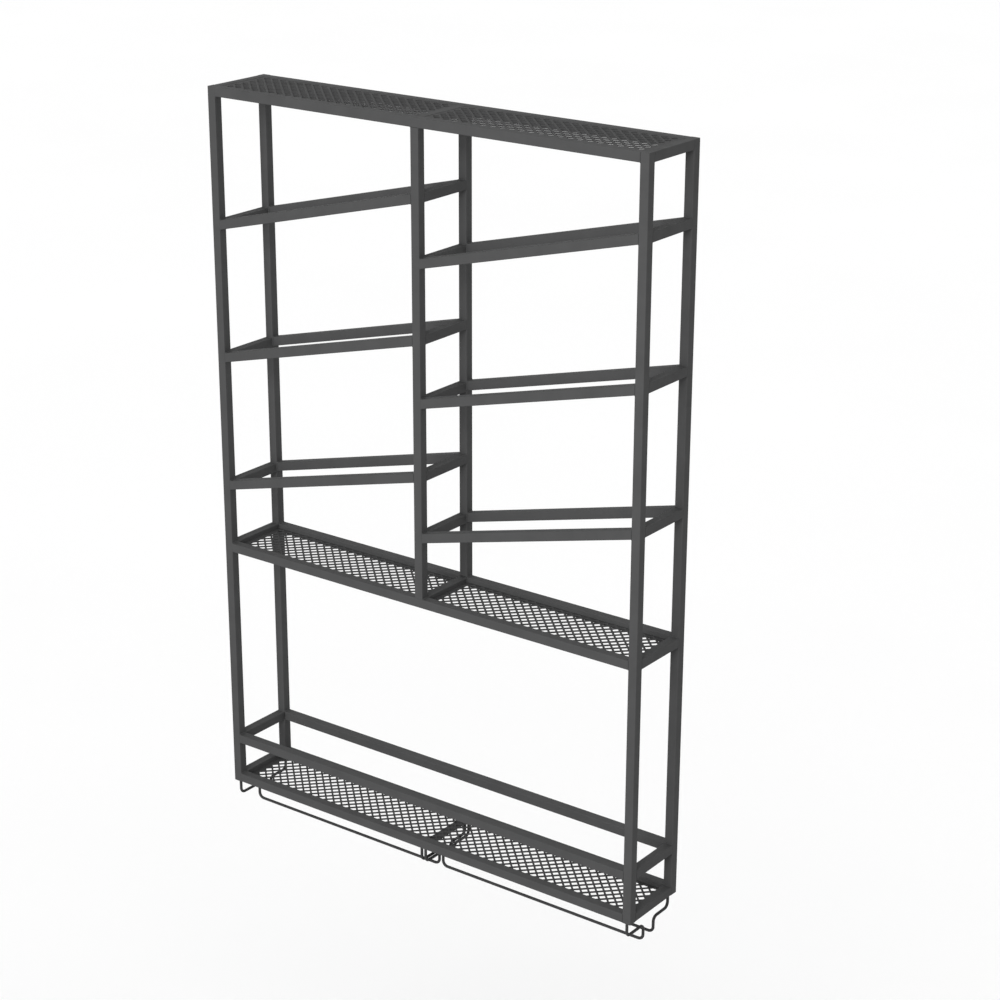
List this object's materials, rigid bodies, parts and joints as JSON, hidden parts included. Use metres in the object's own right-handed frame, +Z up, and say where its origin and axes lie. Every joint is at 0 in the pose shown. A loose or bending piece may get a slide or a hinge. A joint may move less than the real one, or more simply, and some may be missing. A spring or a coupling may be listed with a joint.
{
  "type": "wall bottle shelf",
  "caption": "Slim wall-hung display rack of welded square tube with sloped open bottle shelves, perforated level shelves and bent wires underneath for hanging glasses.",
  "frame": {"origin": "centre of the four wall fixings, in the plane of the wall", "axes": "+X to the right along the shelf, +Y into the wall, so the open front faces -Y, and +Z up"},
  "size_m": [1.366, 0.218, 2.0935],
  "materials": {
    "frame": "matt powder coat",
    "sheet": "matt powder coat",
    "wire": "matt powder coat",
    "insert": "zinc plated"
  },
  "bodies": {
    "root": {"base_bar_left": "frame", "base_bar_right": "frame", "base_rail_front": "frame", "base_rail_rear": "frame", "base_sheet": "sheet", "base_strip_centre": "frame", "centre_post_front": "frame", "centre_post_rear": "frame", "glass_wire_left_front": "wire", "glass_wire_left_rear": "wire", "glass_wire_right_front": "wire", "glass_wire_right_rear": "wire", "guard_bar_left": "frame", "guard_bar_right": "frame", "guard_rail_front": "frame", "guard_rail_rear": "frame", "left_shelf_1_bar_high": "frame", "left_shelf_1_bar_low": "frame", "left_shelf_1_rail_front": "frame", "left_shelf_1_rail_rear": "frame", "left_shelf_2_bar_high": "frame", "left_shelf_2_bar_low": "frame", "left_shelf_2_rail_front": "frame", "left_shelf_2_rail_rear": "frame", "left_shelf_3_bar_high": "frame", "left_shelf_3_bar_low": "frame", "left_shelf_3_rail_front": "frame", "left_shelf_3_rail_rear": "frame", "middle_bar_centre": "frame", "middle_bar_left": "frame", "middle_bar_right": "frame", "middle_rail_front": "frame", "middle_rail_rear": "frame", "middle_sheet_left": "sheet", "middle_sheet_right": "sheet", "post_end_caps": "frame", "post_front_left": "frame", "post_front_right": "frame", "post_rear_left": "frame", "post_rear_right": "frame", "right_shelf_1_bar_high": "frame", "right_shelf_1_bar_low": "frame", "right_shelf_1_rail_front": "frame", "right_shelf_1_rail_rear": "frame", "right_shelf_2_bar_high": "frame", "right_shelf_2_bar_low": "frame", "right_shelf_2_rail_front": "frame", "right_shelf_2_rail_rear": "frame", "right_shelf_3_bar_high": "frame", "right_shelf_3_bar_low": "frame", "right_shelf_3_rail_front": "frame", "right_shelf_3_rail_rear": "frame", "top_bar_centre": "frame", "top_bar_left": "frame", "top_bar_right": "frame", "top_rail_front": "frame", "top_rail_rear": "frame", "top_sheet_left": "sheet", "top_sheet_right": "sheet", "wall_fixing_inserts": "insert"}
  },
  "joints": []
}
